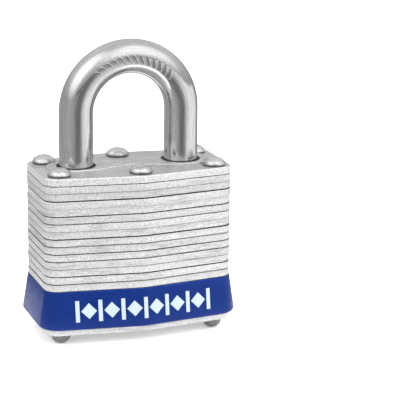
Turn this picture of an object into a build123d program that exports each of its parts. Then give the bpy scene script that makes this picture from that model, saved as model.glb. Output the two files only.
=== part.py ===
from build123d import *

import os
from math import cos, radians, sin

# A 40 mm laminated steel padlock, closed, with its plug turned to the open position and its levers drawn back.
# +X right, the front faces -Y, +Z up. The origin is on the ground under the middle of the case.
# All sizes are in millimetres.

# Case: sheet steel plates stacked on top of each other and riveted together
CASE_W = 40.0  # over the two ends
END_D = 17.24  # front to back at the ends
MID_D = 22.2  # front to back at the soft bend in the middle of each long side
CORNER_R = 3.0
BEND_R = 8.0
PLATE_T = 1.57
PLATE_COUNT = 21
ROLL_R = 0.3  # the edge that the punch enters by is rolled over
BURR_R = 0.08  # and the one it leaves by stays nearly sharp
ROLLED_UP = (4, 8, 10, 15, 16, 18, 20, 21)  # plates laid with their rolled edge upwards
WANDER = 0.06  # how far a plate above the bumper may stand out of line
WANDER_STEP = 137.5  # degrees from one plate's offset to the next one's

# Rivets
RIVET_IN_X = 3.5  # a corner rivet's axis from the case's end
RIVET_IN_Y = 2.52  # and from its front or back
LEVER_RIVET_IN_Y = 3.15  # a lever rivet's axis from the soft bend
SHAFT_R = 1.6
LEVER_SHAFT_R = 1.5
HOLE_CLEAR = 0.05  # all round a rivet in its hole
HEAD_R = 2.35
HEAD_H = 1.7
HEAD_RIM = 0.25
FOOT_R = 2.05
FOOT_H = 2.3  # the feet lift the case off the ground
FOOT_FLAT_R = 0.9
INNER_HEAD_R = 2.2
INNER_HEAD_H = 0.8

# Shackle: one bent rod
ROD_R = 3.5
INNER_W = 15.6  # between the legs
CLEAR_H = 19.0  # from the top plate to the inside of the arch
LEG_HOLE_CLEAR = 0.6
LIFT = 13.5
NOTCH_DEPTH = 1.85
FLAT_DEPTH = 0.8  # long flat on the heel leg, which the left lever always overlaps
NECK_R = 1.7
FOOT_BLOCK_H = 2.2  # full-round end under the neck, which stops the shackle at full lift
TOE_END_UP = 1.0  # the toe leg's end above the bottom of its lowest plate
ROD_CHAMFER = 0.7

# Levels of the mechanism, as plate numbers counted from the bottom
SHELL_LEVELS = (2, 13)
CHEST_LEVELS = (3, 12)
WELL_LEVELS = (4, 21)
CAM_LEVELS = (14, 16)
TOE_LEVELS = (15, 21)
RIGHT_LEVER_LEVEL = 17
LEFT_LEVER_LEVEL = 18
LEVER_RIVET_LEVELS = (16, 21)

# Raised panel on the top plate
PANEL_H = 0.4
PANEL_IN_X = 2.4  # from the case's end
PANEL_WIDER = 0.45  # each side of a shackle hole
PANEL_WAIST_Y = 1.8
PANEL_WAIST_X = 2.7  # the wide ends start this far inside each leg's axis
PANEL_EDGE_R = 0.3
PANEL_CORNER_R = 4.3
HEAD_SEAT_GAP = 0.05  # round a rivet head, where it comes near the raised panel

# Lock cylinder
PLUG_R = 4.8
PLUG_NOSE_R = PLUG_R - 0.3
PLUG_CLEAR = 0.05
SHELL_WALL = 1.65
CASE_CLEAR = 0.1  # between the shell and the plates around it
CHEST_L = 10.1  # pin chest's reach beyond the plug
CHEST_Y = 2.9
KEYWAY_W = 1.9
KEYWAY_LOW_X = -3.8
KEYWAY_HIGH_X = 2.5
KEYWAY_TOP_UP = 1.4  # from the last pin's axis
WARD_W = 0.8
PIN_COUNT = 4
PIN_LOW_WALL = 2.26  # first pin's axis above the chest's low end
PIN_HIGH_WALL = 3.84  # last pin's axis below its high end
PIN_R = 1.25
PIN_CLEAR = 0.07
PIN_TIP_R = 0.5
PIN_CUTS = (0.4, 1.2, 0.8, 1.6)  # where each key pin's tip stands at rest, which sets the key
CHAMBER_FLOOR_X = -2.0
DRIVER_L = 3.4
SHEAR_GAP = 0.02
COVER_T = 0.9
COVER_Y = 2.1
RETAINER_R = PLUG_R + 0.6
RETAINER_T = 0.8
CAM_SPACE_R = 5.6

# Cam on the plug's inner end: a hub with one lobe at each lever's level
HUB_R = 1.8
CAM_TURN = 45.0  # direction of the lobes' long axis, in degrees from +X
RIGHT_LOBE_R = 1.85
RIGHT_LOBE_C = 1.8
LEFT_LOBE_R = 2.9
LEFT_LOBE_C = 0.9

# Locking levers
LEVER_SLACK = 0.06  # above and below a lever
EYE_R = 2.2
EYE_CLEAR = 0.05
ARM_R = 1.5
ARM_END_Y = -1.3  # right lever's tip, locked
LEVER_BITE = 1.65  # how far a locked lever reaches into its leg
RIGHT_SWING = 18.8  # degrees from locked to drawn back
LEFT_SWING = 10.0
POCKET_CLEAR = 0.25

# Bumper round the foot of the case
BUMPER_BOTTOM_UP = 1.4  # above the bottom plate's underside
BUMPER_TOP_LEVEL = 6
BUMPER_FLARE = 1.35
BUMPER_TOP_T = 0.12
BUMPER_EDGE_R = 0.8
MARK_PROUD = 0.1
MARK_SUNK = 0.2
MARK_H = 4.3
MARK_COUNT = 6
MARK_PITCH = 4.7
MARK_BAR_W = 0.8
MARK_GEM_W = 3.2

# Springs
SHACKLE_WIRE_R = 0.4
SHACKLE_COIL_R = 3.1
SHACKLE_COILS = 5.5
PIN_WIRE_R = 0.13
PIN_COIL_R = 0.85
PIN_COILS = 6.5
SEAT_GAP = 0.01

RIVET_X = CASE_W / 2 - RIVET_IN_X
RIVET_Y = END_D / 2 - RIVET_IN_Y
LEVER_RIVET_Y = MID_D / 2 - LEVER_RIVET_IN_Y
LEG_X = INNER_W / 2 + ROD_R
LEVER_REACH = INNER_W / 2 + LEVER_BITE
ARM_END = (LEVER_REACH - ARM_R + 0.25, ARM_END_Y)
CHEST_X = PLUG_R + CHEST_L
STACK_H = PLATE_COUNT * PLATE_T
TOP_Z = FOOT_H + STACK_H
ARCH_Z = TOP_Z + CLEAR_H - (LEG_X - ROD_R)
LEG_HOLE_R = ROD_R + LEG_HOLE_CLEAR
SHELL_R = PLUG_R + PLUG_CLEAR + SHELL_WALL
CHAMBER_R = PIN_R + PIN_CLEAR
PANEL_X = CASE_W / 2 - PANEL_IN_X
PANEL_Y = LEG_HOLE_R + PANEL_WIDER
PANEL_SHOULDER_X = LEG_X - PANEL_WAIST_X

# The shapes that more than one piece is made from


def level_z(level):
    """Height of the underside of a plate."""
    return FOOT_H + (level - 1) * PLATE_T


def within(level, levels):
    return levels[0] <= level <= levels[1]


def case_outline(grow=0.0):
    """Plan of a plate: straight ends, and long sides with a soft bend in the middle."""
    x = CASE_W / 2 + grow
    end_y = END_D / 2 + grow
    mid_y = MID_D / 2 + grow
    with BuildSketch(mode=Mode.PRIVATE) as plan:
        with BuildLine():
            Polyline((x, -end_y), (x, end_y), (0, mid_y), (-x, end_y), (-x, -end_y), (0, -mid_y), close=True)
        make_face()
        by_x = plan.vertices().group_by(Axis.X)
        fillet(by_x[1], BEND_R)
        fillet(plan.vertices().group_by(Axis.X)[0] + plan.vertices().group_by(Axis.X)[-1], CORNER_R + grow)
    return plan.sketch


def corner_spots():
    return [(sx * RIVET_X, sy * RIVET_Y) for sx in (-1, 1) for sy in (-1, 1)]


def turned(point, centre, degrees):
    """A point carried round a centre, anticlockwise."""
    a = radians(degrees)
    dx = point[0] - centre[0]
    dy = point[1] - centre[1]
    return (centre[0] + dx * cos(a) - dy * sin(a), centre[1] + dx * sin(a) + dy * cos(a))


def lever_pocket(swing, facing):
    """Room in a plate for one lever over its whole swing. Facing is 0 for the right lever and 180 for the left."""
    pivot = (0, -LEVER_RIVET_Y)
    with BuildSketch(mode=Mode.PRIVATE) as room:
        with Locations(pivot):
            Circle(EYE_R + POCKET_CLEAR)
        with Locations(ARM_END, turned(ARM_END, pivot, swing)):
            Circle(ARM_R + POCKET_CLEAR)
        make_hull()
    return room.sketch.rotate(Axis.Z, facing)


def lever_plan(swing, facing):
    """Plan of a lever, drawn back: an eye round its rivet and a round-nosed arm that ends in a flat tip."""
    pivot = (0, -LEVER_RIVET_Y)
    with BuildSketch(mode=Mode.PRIVATE) as plan:
        with Locations(pivot):
            Circle(EYE_R)
        with Locations(ARM_END):
            Circle(ARM_R)
        make_hull()
        with Locations((LEVER_REACH + CASE_W / 2, 0)):
            Rectangle(CASE_W, CASE_W, mode=Mode.SUBTRACT)
        with Locations(pivot):
            Circle(LEVER_SHAFT_R + EYE_CLEAR, mode=Mode.SUBTRACT)
    back = plan.sketch.rotate(Axis((0, -LEVER_RIVET_Y, 0), (0, 0, 1)), swing)
    return back.rotate(Axis.Z, facing)


def upright(x, y):
    """The vertical plane through a point, seen from the front, for a turned piece's half section."""
    return Plane(origin=(x, y, 0), x_dir=(1, 0, 0), z_dir=(0, -1, 0))


def save(builder, name):
    builder.part.label = name
    export_step(builder.part, f"parts/{name}.step")


# Case plates


def plate_offset(level):
    """How far a plate stands out of line. Those in the bumper and the two outer ones are true."""
    if level <= BUMPER_TOP_LEVEL or level == PLATE_COUNT:
        return (0, 0)
    a = radians(WANDER_STEP * level)
    return (WANDER * cos(a), WANDER * sin(a))


def foot_roll(level):
    """Radius of a plate's lower outer edge."""
    return BURR_R if level in ROLLED_UP else ROLL_R


def case_plate(level):
    """One plate with the cut-outs that its level needs."""
    with BuildPart() as plate:
        with BuildSketch(Plane.XY.offset(level_z(level))):
            with Locations(plate_offset(level)):
                add(case_outline())
            with Locations(*corner_spots()):
                Circle(SHAFT_R + HOLE_CLEAR, mode=Mode.SUBTRACT)
            if level == 1:
                Circle(PLUG_NOSE_R + 0.15, mode=Mode.SUBTRACT)
            if within(level, SHELL_LEVELS):
                Circle(SHELL_R + CASE_CLEAR, mode=Mode.SUBTRACT)
            if within(level, CHEST_LEVELS):
                with Locations(((CHEST_X + CASE_CLEAR) / 2, 0)):
                    Rectangle(CHEST_X + CASE_CLEAR, 2 * (CHEST_Y + CASE_CLEAR), mode=Mode.SUBTRACT)
            if within(level, CAM_LEVELS):
                Circle(CAM_SPACE_R, mode=Mode.SUBTRACT)
            if within(level, WELL_LEVELS):
                with Locations((-LEG_X, 0)):
                    Circle(LEG_HOLE_R, mode=Mode.SUBTRACT)
            if within(level, TOE_LEVELS):
                with Locations((LEG_X, 0)):
                    Circle(LEG_HOLE_R, mode=Mode.SUBTRACT)
            if level == RIGHT_LEVER_LEVEL:
                add(lever_pocket(RIGHT_SWING, 0), mode=Mode.SUBTRACT)
            if level == LEFT_LEVER_LEVEL:
                add(lever_pocket(LEFT_SWING, 180), mode=Mode.SUBTRACT)
            if level in (RIGHT_LEVER_LEVEL, LEFT_LEVER_LEVEL):
                Circle(CAM_SPACE_R, mode=Mode.SUBTRACT)
            if within(level, LEVER_RIVET_LEVELS):
                with Locations((0, -LEVER_RIVET_Y), (0, LEVER_RIVET_Y)):
                    Circle(LEVER_SHAFT_R + HOLE_CLEAR, mode=Mode.SUBTRACT)
            if level == LEVER_RIVET_LEVELS[0] - 1:
                with Locations((0, -LEVER_RIVET_Y), (0, LEVER_RIVET_Y)):
                    Circle(INNER_HEAD_R + HOLE_CLEAR, mode=Mode.SUBTRACT)
        extrude(amount=PLATE_T)
        flats = plate.faces().filter_by(Axis.Z).sort_by(Axis.Z)
        fillet(flats[-1].outer_wire().edges(), ROLL_R if level in ROLLED_UP else BURR_R)
        fillet(plate.faces().filter_by(Axis.Z).sort_by(Axis.Z)[0].outer_wire().edges(), foot_roll(level))
        if level == PLATE_COUNT:
            top_panel()
    return plate


def top_panel():
    """Pressed-up panel between the rivets, narrow in the middle, with a shackle hole at each end."""
    with BuildSketch(Plane.XY.offset(TOP_Z)) as panel:
        quarter = [
            (PANEL_X, PANEL_Y),
            (PANEL_SHOULDER_X, PANEL_Y),
            (0, PANEL_WAIST_Y),
            (-PANEL_SHOULDER_X, PANEL_Y),
            (-PANEL_X, PANEL_Y),
        ]
        with BuildLine():
            Polyline(*quarter, *[(-x, -y) for x, y in quarter], close=True)
        make_face()
        outer = panel.vertices().group_by(Axis.X)
        fillet(outer[0] + outer[-1], PANEL_CORNER_R)
        fillet(panel.vertices().filter_by(lambda v: abs(abs(v.X) - PANEL_SHOULDER_X) < 0.01), 2.5)
        fillet(panel.vertices().filter_by(lambda v: abs(v.X) < 0.01), 4.0)
        with Locations((-LEG_X, 0), (LEG_X, 0)):
            Circle(LEG_HOLE_R, mode=Mode.SUBTRACT)
    extrude(panel.sketch, amount=PANEL_H)
    raised = faces().filter_by(Axis.Z).sort_by(Axis.Z)[-1]
    fillet(raised.outer_wire().edges(), PANEL_EDGE_R)
    with BuildSketch(Plane.XY.offset(TOP_Z)) as seats:
        with Locations(*corner_spots()):
            Circle(HEAD_R + HEAD_SEAT_GAP)
    extrude(seats.sketch, amount=2 * PANEL_H, mode=Mode.SUBTRACT)


def make_plates():
    for level in range(1, PLATE_COUNT + 1):
        name = f"case_plate_{level:02d}"
        if level == 1:
            name = "bottom_plate"
        if level == PLATE_COUNT:
            name = "top_plate"
        save(case_plate(level), name)


# Rivets


def head_edge():
    """The domed head's outline, from its flat underside up to its crown, which is part of a ball."""
    rim_z = TOP_Z + HEAD_RIM
    rise = HEAD_H - HEAD_RIM
    ball_r = (HEAD_R**2 + rise**2) / (2 * rise)
    half_x = HEAD_R / 2
    half_z = rim_z + rise - ball_r + (ball_r**2 - half_x**2) ** 0.5
    Line((HEAD_R, TOP_Z), (HEAD_R, rim_z))
    ThreePointArc((HEAD_R, rim_z), (half_x, half_z), (0, TOP_Z + HEAD_H))


def foot_edge():
    """The rounded foot's outline, from its flat bottom up to the case."""
    belly = (0.85 * FOOT_R, 0.24 * FOOT_H)
    side_z = 0.52 * FOOT_H
    Line((0, 0), (FOOT_FLAT_R, 0))
    ThreePointArc((FOOT_FLAT_R, 0), belly, (FOOT_R, side_z))
    Line((FOOT_R, side_z), (FOOT_R, FOOT_H))
    Line((FOOT_R, FOOT_H), (SHAFT_R, FOOT_H))


def make_corner_rivets():
    with BuildPart() as rivets:
        for x, y in corner_spots():
            with BuildSketch(upright(x, y)):
                with BuildLine():
                    foot_edge()
                    Line((SHAFT_R, FOOT_H), (SHAFT_R, TOP_Z))
                    Line((SHAFT_R, TOP_Z), (HEAD_R, TOP_Z))
                    head_edge()
                    Line((0, TOP_Z + HEAD_H), (0, 0))
                make_face()
            revolve(axis=Axis((x, y, 0), (0, 0, 1)))
    save(rivets, "corner_rivets")


def make_lever_rivet(name, y):
    """Short rivet through the upper plates, with a head at each end. A lever turns on it."""
    low_z = level_z(LEVER_RIVET_LEVELS[0])
    end_z = low_z - INNER_HEAD_H
    with BuildPart() as rivet:
        with BuildSketch(upright(0, y)):
            with BuildLine():
                Polyline((0, end_z), (INNER_HEAD_R, end_z), (INNER_HEAD_R, low_z), (LEVER_SHAFT_R, low_z))
                Polyline((LEVER_SHAFT_R, low_z), (LEVER_SHAFT_R, TOP_Z), (HEAD_R, TOP_Z))
                head_edge()
                Line((0, TOP_Z + HEAD_H), (0, end_z))
            make_face()
        revolve(axis=Axis((0, y, 0), (0, 0, 1)))
    save(rivet, name)


# Shackle


def lever_z(level):
    """Lowest and highest point of the lever in a plate's level."""
    return level_z(level) + LEVER_SLACK, level_z(level + 1) - LEVER_SLACK


NOTCH_OVER = 0.35  # above and below a lever in its notch
NECK_TOP_Z = lever_z(LEFT_LEVER_LEVEL)[0] - LIFT + 2.4
SHOULDER_Z = lever_z(LEFT_LEVER_LEVEL)[0] - LIFT - 0.08  # meets the left lever's underside at full lift
HEEL_END_Z = SHOULDER_Z - FOOT_BLOCK_H
TOE_END_Z = level_z(TOE_LEVELS[0]) + TOE_END_UP


def cut_block(low, high):
    """Take the box between two corners off the piece being made."""
    size = [b - a for a, b in zip(low, high)]
    with Locations(tuple((a + b) / 2 for a, b in zip(low, high))):
        Box(*size, mode=Mode.SUBTRACT)


def make_shackle():
    with BuildPart() as shackle:
        with BuildLine() as path:
            heel = Line((-LEG_X, 0, HEEL_END_Z), (-LEG_X, 0, ARCH_Z))
            arch = ThreePointArc(heel @ 1, (0, 0, ARCH_Z + LEG_X), (LEG_X, 0, ARCH_Z))
            Line(arch @ 1, (LEG_X, 0, TOE_END_Z))
        with BuildSketch(Plane(origin=heel @ 0, z_dir=heel % 0)):
            Circle(ROD_R)
        sweep(path=path.line)
        ends = shackle.faces().filter_by(Axis.Z).sort_by(Axis.Z)
        chamfer(ends[0].edges() + ends[1].edges(), ROD_CHAMFER)
        inner = LEG_X - ROD_R
        wide = 2 * ROD_R
        toe_low, toe_high = lever_z(RIGHT_LEVER_LEVEL)
        cut_block((0, -wide, toe_low - NOTCH_OVER), (inner + NOTCH_DEPTH, wide, toe_high + NOTCH_OVER))
        heel_low, heel_high = lever_z(LEFT_LEVER_LEVEL)
        cut_block((-inner - NOTCH_DEPTH, -wide, heel_low - NOTCH_OVER), (0, wide, heel_high + NOTCH_OVER))
        cut_block((-inner - FLAT_DEPTH, -wide, NECK_TOP_Z - 0.5), (0, wide, heel_low))
        with BuildSketch(Plane.XY.offset(SHOULDER_Z)):
            with Locations((-LEG_X, 0)):
                Circle(ROD_R + 1)
                Circle(NECK_R, mode=Mode.SUBTRACT)
        extrude(amount=NECK_TOP_Z - SHOULDER_Z, mode=Mode.SUBTRACT)
    save(shackle, "shackle")


def coil(wire_r, coil_r, coils, start, direction, length):
    """A round-wire coil between two flat seats, started at a point and run in a direction."""
    end_gap = wire_r + SEAT_GAP
    run = length - 2 * end_gap
    centre = tuple(a + d * end_gap for a, d in zip(start, direction))
    with BuildPart() as spring:
        with BuildLine() as path:
            Helix(pitch=run / coils, height=run, radius=coil_r, center=centre, direction=direction)
        with BuildSketch(Plane(origin=path.line @ 0, z_dir=path.line % 0)):
            Circle(wire_r)
        sweep(path=path.line, is_frenet=True)
    return spring


def make_shackle_spring():
    floor_z = level_z(WELL_LEVELS[0])
    start = (-LEG_X, 0, floor_z)
    spring = coil(SHACKLE_WIRE_R, SHACKLE_COIL_R, SHACKLE_COILS, start, (0, 0, 1), HEEL_END_Z - floor_z)
    save(spring, "shackle_spring")


# Lock cylinder

PLUG_FACE_Z = FOOT_H + 0.1
PLUG_SHOULDER_Z = level_z(SHELL_LEVELS[0]) + 0.08
SHELL_LOW_Z = level_z(SHELL_LEVELS[0])
SHELL_TOP_Z = level_z(SHELL_LEVELS[1] + 1)
CHEST_LOW_Z = level_z(CHEST_LEVELS[0])
CHEST_TOP_Z = level_z(CHEST_LEVELS[1] + 1)
PIN_SPAN = CHEST_TOP_Z - CHEST_LOW_Z - PIN_LOW_WALL - PIN_HIGH_WALL
PIN_Z = [CHEST_LOW_Z + PIN_LOW_WALL + PIN_SPAN * i / (PIN_COUNT - 1) for i in range(PIN_COUNT)]
KEY_PIN_TOP_X = (PLUG_R**2 - PIN_R**2) ** 0.5 - SHEAR_GAP
DRIVER_X = PLUG_R + PLUG_CLEAR + SHEAR_GAP
COVER_X = CHEST_X - COVER_T
RETAINER_LOW_Z = SHELL_TOP_Z + 0.05
CAM_LOW_Z = RETAINER_LOW_Z + RETAINER_T
STUB_R = 3.0


def chambers(from_x, to_x):
    """The row of pin chambers, drilled along +X."""
    for z in PIN_Z:
        with BuildSketch(Plane(origin=(from_x, 0, z), z_dir=(1, 0, 0))) as bore:
            Circle(CHAMBER_R)
        extrude(bore.sketch, amount=to_x - from_x, mode=Mode.SUBTRACT)


def cover_low_high():
    return (COVER_X, -COVER_Y, PIN_Z[0] - 2.0), (CHEST_X, COVER_Y, PIN_Z[-1] + 2.0)


def make_shell():
    with BuildPart() as shell:
        with BuildSketch(Plane.XY.offset(SHELL_LOW_Z)):
            Circle(SHELL_R)
        extrude(amount=SHELL_TOP_Z - SHELL_LOW_Z)
        with BuildSketch(Plane.XY.offset(CHEST_LOW_Z)):
            with Locations((CHEST_X / 2, 0)):
                Rectangle(CHEST_X, 2 * CHEST_Y)
        extrude(amount=CHEST_TOP_Z - CHEST_LOW_Z)
        with BuildSketch(Plane.XY.offset(SHELL_LOW_Z)):
            Circle(PLUG_R + PLUG_CLEAR)
        extrude(amount=SHELL_TOP_Z - SHELL_LOW_Z, mode=Mode.SUBTRACT)
        chambers(0, CHEST_X)
        cut_block(*cover_low_high())
    save(shell, "cylinder_shell")


def make_chamber_cover():
    low, high = cover_low_high()
    with BuildPart() as cover:
        with BuildSketch(Plane(origin=(low[0], 0, (low[2] + high[2]) / 2), x_dir=(0, 1, 0), z_dir=(1, 0, 0))):
            Rectangle(high[1] - low[1], high[2] - low[2])
        extrude(amount=high[0] - low[0])
    save(cover, "chamber_cover")


def make_plug():
    keyway_x = (KEYWAY_LOW_X + KEYWAY_HIGH_X) / 2
    keyway_top = PIN_Z[-1] + KEYWAY_TOP_UP
    with BuildPart() as plug:
        with BuildSketch(Plane.XY.offset(PLUG_FACE_Z)):
            Circle(PLUG_NOSE_R)
        extrude(amount=PLUG_SHOULDER_Z - PLUG_FACE_Z)
        with BuildSketch(Plane.XY.offset(PLUG_SHOULDER_Z)):
            Circle(PLUG_R)
        extrude(amount=SHELL_TOP_Z - PLUG_SHOULDER_Z)
        with BuildSketch(Plane.XY.offset(SHELL_TOP_Z)):
            Circle(STUB_R)
        extrude(amount=CAM_LOW_Z - SHELL_TOP_Z)
        chamfer(plug.faces().sort_by(Axis.Z)[0].edges(), 0.25)
        with BuildSketch(Plane.XY.offset(PLUG_FACE_Z)):
            with Locations((keyway_x, 0)):
                RectangleRounded(KEYWAY_HIGH_X - KEYWAY_LOW_X, KEYWAY_W, 0.4)
            with Locations((keyway_x + 0.4, KEYWAY_W / 2)):
                Rectangle(WARD_W, WARD_W)
            with Locations((keyway_x - 0.9, -KEYWAY_W / 2)):
                Rectangle(WARD_W, WARD_W)
        extrude(amount=keyway_top - PLUG_FACE_Z, mode=Mode.SUBTRACT)
        chambers(CHAMBER_FLOOR_X, PLUG_R + 1)
    save(plug, "plug")


def make_plug_retainer():
    """Ring that keeps the plug in its shell."""
    with BuildPart() as ring:
        with BuildSketch(Plane.XY.offset(RETAINER_LOW_Z)):
            Circle(RETAINER_R)
            Circle(STUB_R, mode=Mode.SUBTRACT)
        extrude(amount=RETAINER_T)
        chamfer(ring.faces().filter_by(Axis.Z).sort_by(Axis.Z)[-1].outer_wire().edges(), 0.2)
    save(ring, "plug_retainer")


def lobe(level, nose_r, spread):
    """One of the cam's lobes, which spreads its lever when the plug turns to locked."""
    low, high = lever_z(level)
    with BuildSketch(Plane.XY.offset(low)) as plan:
        SlotCenterToCenter(2 * spread, 2 * nose_r, rotation=CAM_TURN)
    extrude(plan.sketch, amount=high - low)


def make_cam():
    with BuildPart() as cam:
        with BuildSketch(Plane.XY.offset(CAM_LOW_Z)):
            Circle(STUB_R + 0.4)
        extrude(amount=0.9)
        with BuildSketch(Plane.XY.offset(CAM_LOW_Z)):
            Circle(HUB_R)
        extrude(amount=lever_z(LEFT_LEVER_LEVEL)[1] - CAM_LOW_Z)
        lobe(RIGHT_LEVER_LEVEL, RIGHT_LOBE_R, RIGHT_LOBE_C)
        lobe(LEFT_LEVER_LEVEL, LEFT_LOBE_R, LEFT_LOBE_C)
    save(cam, "cam")


def make_key_pin(number):
    """A key pin: its tip on the key, its flat end at the shear line."""
    tip_x = PIN_CUTS[number - 1]
    z = PIN_Z[number - 1]
    cone = PIN_R - PIN_TIP_R
    with BuildPart() as pin:
        with BuildSketch(Plane(origin=(0, 0, z), x_dir=(1, 0, 0), z_dir=(0, -1, 0))):
            with BuildLine():
                Polyline((tip_x, 0), (tip_x, PIN_TIP_R), (tip_x + cone, PIN_R), (KEY_PIN_TOP_X, PIN_R))
                Polyline((KEY_PIN_TOP_X, PIN_R), (KEY_PIN_TOP_X, 0), (tip_x, 0))
            make_face()
        revolve(axis=Axis((0, 0, z), (1, 0, 0)))
    save(pin, f"key_pin_{number}")


def make_driver_pin(number):
    z = PIN_Z[number - 1]
    with BuildPart() as pin:
        with BuildSketch(Plane(origin=(DRIVER_X, 0, z), z_dir=(1, 0, 0))):
            Circle(PIN_R)
        extrude(amount=DRIVER_L)
        chamfer(pin.edges().filter_by(GeomType.CIRCLE), 0.12)
    save(pin, f"driver_pin_{number}")


def make_pin_spring(number):
    start = (DRIVER_X + DRIVER_L, 0, PIN_Z[number - 1])
    spring = coil(PIN_WIRE_R, PIN_COIL_R, PIN_COILS, start, (1, 0, 0), COVER_X - start[0])
    save(spring, f"pin_spring_{number}")


# Locking levers


def make_lever(name, level, swing, facing):
    low, high = lever_z(level)
    with BuildPart() as lever:
        with BuildSketch(Plane.XY.offset(low)):
            add(lever_plan(swing, facing))
        extrude(amount=high - low)
    save(lever, name)


# Bumper

BUMPER_LOW_Z = FOOT_H + BUMPER_BOTTOM_UP
BUMPER_TOP_Z = level_z(BUMPER_TOP_LEVEL + 1)


def bumper_form(grow, mode):
    """The bumper's outside, solid right through, grown or shrunk by a margin."""
    with BuildSketch(Plane.XY.offset(BUMPER_LOW_Z)) as base:
        add(case_outline(BUMPER_FLARE + grow))
    with BuildSketch(Plane.XY.offset(BUMPER_TOP_Z)) as brim:
        add(case_outline(BUMPER_TOP_T + grow))
    loft([base.sketch, brim.sketch], mode=mode)


def mark_plan():
    """Plain pattern on the bumper's front: gems between upright bars, drawn on the front plane."""
    middle_z = (BUMPER_LOW_Z + BUMPER_TOP_Z) / 2
    with BuildSketch(Plane(origin=(0, 0, middle_z), x_dir=(1, 0, 0), z_dir=(0, -1, 0))) as pattern:
        with GridLocations(MARK_PITCH, 1, MARK_COUNT, 1):
            Rectangle(MARK_GEM_W / 2**0.5, MARK_GEM_W / 2**0.5, rotation=45)
        with GridLocations(MARK_PITCH, 1, MARK_COUNT + 1, 1):
            Rectangle(MARK_BAR_W, MARK_H)
    return pattern.sketch


def make_bumper_mark():
    with BuildPart() as mark:
        extrude(mark_plan(), amount=MID_D)
        bumper_form(MARK_PROUD, Mode.INTERSECT)
        bumper_form(-MARK_SUNK, Mode.SUBTRACT)
    save(mark, "bumper_mark")
    return mark.part


def make_bumper(mark):
    with BuildPart() as bumper:
        bumper_form(0, Mode.ADD)
        fillet(bumper.faces().sort_by(Axis.Z)[0].edges(), BUMPER_EDGE_R)
        with BuildSketch(Plane.XY.offset(BUMPER_LOW_Z)):
            add(case_outline())
        extrude(amount=BUMPER_TOP_Z - BUMPER_LOW_Z, mode=Mode.SUBTRACT)
        add(mark, mode=Mode.SUBTRACT)
    save(bumper, "bumper")


os.makedirs("parts", exist_ok=True)
make_plates()
make_corner_rivets()
make_lever_rivet("lever_rivet_front", -LEVER_RIVET_Y)
make_lever_rivet("lever_rivet_rear", LEVER_RIVET_Y)
make_shackle()
make_shackle_spring()
make_shell()
make_chamber_cover()
make_plug()
make_plug_retainer()
make_cam()
for pin_number in range(1, PIN_COUNT + 1):
    make_key_pin(pin_number)
    make_driver_pin(pin_number)
    make_pin_spring(pin_number)
make_lever("locking_lever_right", RIGHT_LEVER_LEVEL, RIGHT_SWING, 0)
make_lever("locking_lever_left", LEFT_LEVER_LEVEL, LEFT_SWING, 180)
make_bumper(make_bumper_mark())
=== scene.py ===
"""Finishes and fine modelling for a laminated steel padlock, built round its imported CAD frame."""

import logging
import math
from dataclasses import dataclass
from enum import Enum

import bmesh
import bpy
from mathutils import Matrix, Vector, noise


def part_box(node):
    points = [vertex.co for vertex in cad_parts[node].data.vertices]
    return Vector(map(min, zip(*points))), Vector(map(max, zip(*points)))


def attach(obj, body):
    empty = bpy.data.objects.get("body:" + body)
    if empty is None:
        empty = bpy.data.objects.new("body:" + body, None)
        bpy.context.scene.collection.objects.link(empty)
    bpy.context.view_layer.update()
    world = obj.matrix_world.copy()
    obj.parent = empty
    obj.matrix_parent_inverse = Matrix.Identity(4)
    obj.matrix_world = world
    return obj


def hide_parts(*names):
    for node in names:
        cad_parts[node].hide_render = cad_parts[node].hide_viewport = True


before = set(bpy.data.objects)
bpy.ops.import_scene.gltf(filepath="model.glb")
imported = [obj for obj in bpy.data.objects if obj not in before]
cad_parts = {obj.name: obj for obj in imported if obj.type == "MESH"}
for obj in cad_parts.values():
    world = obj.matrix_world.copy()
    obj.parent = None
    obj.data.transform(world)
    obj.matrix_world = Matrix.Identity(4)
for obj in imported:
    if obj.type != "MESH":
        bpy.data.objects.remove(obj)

log = logging.getLogger("padlock")

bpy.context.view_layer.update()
MM = 0.001

Colour = tuple[float, float, float]
Socket = bpy.types.NodeSocket

ZINC_PALE: Colour = (0.76, 0.76, 0.755)
ZINC_DULL: Colour = (0.32, 0.32, 0.32)
PLATE_GRAIN = (3.2, 3.2, 8.0)  # features per millimetre, finest through a plate's thickness
GRAIN_DETAIL, GRAIN_ROUGH = 5.0, 0.85
# colour of the painted shade in the gaps between the plates
GAP_PAINTED_SHADE: Colour = (0.012, 0.012, 0.013)
TORN_EDGE: Colour = (0.40, 0.40, 0.41)
SPECK_GREY: Colour = (0.22, 0.22, 0.22)
# colour of the painted shade round the lower rim of each rivet head
RIM_PAINTED_SHADE: Colour = (0.10, 0.10, 0.10)

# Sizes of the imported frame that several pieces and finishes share, in millimetres.
LEG_X, ARCH_Z = 11.3, 46.47
CASE_FOOT, CASE_TOP = 2.3, 35.27
SKIRT_LOW, SKIRT_HIGH = 3.70, 11.72
WELD_GAP, SPIN_WELD = 0.0005, 0.001  # points nearer than this are made one
DOME_STEPS = 12

SENSOR_WIDTH = 36.0
CLIP_NEAR, CLIP_FAR = 0.01, 20.0  # metres


def mm(*values: float) -> Vector:
    """Give a point in metres from its millimetres."""
    return Vector(values) * MM


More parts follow.
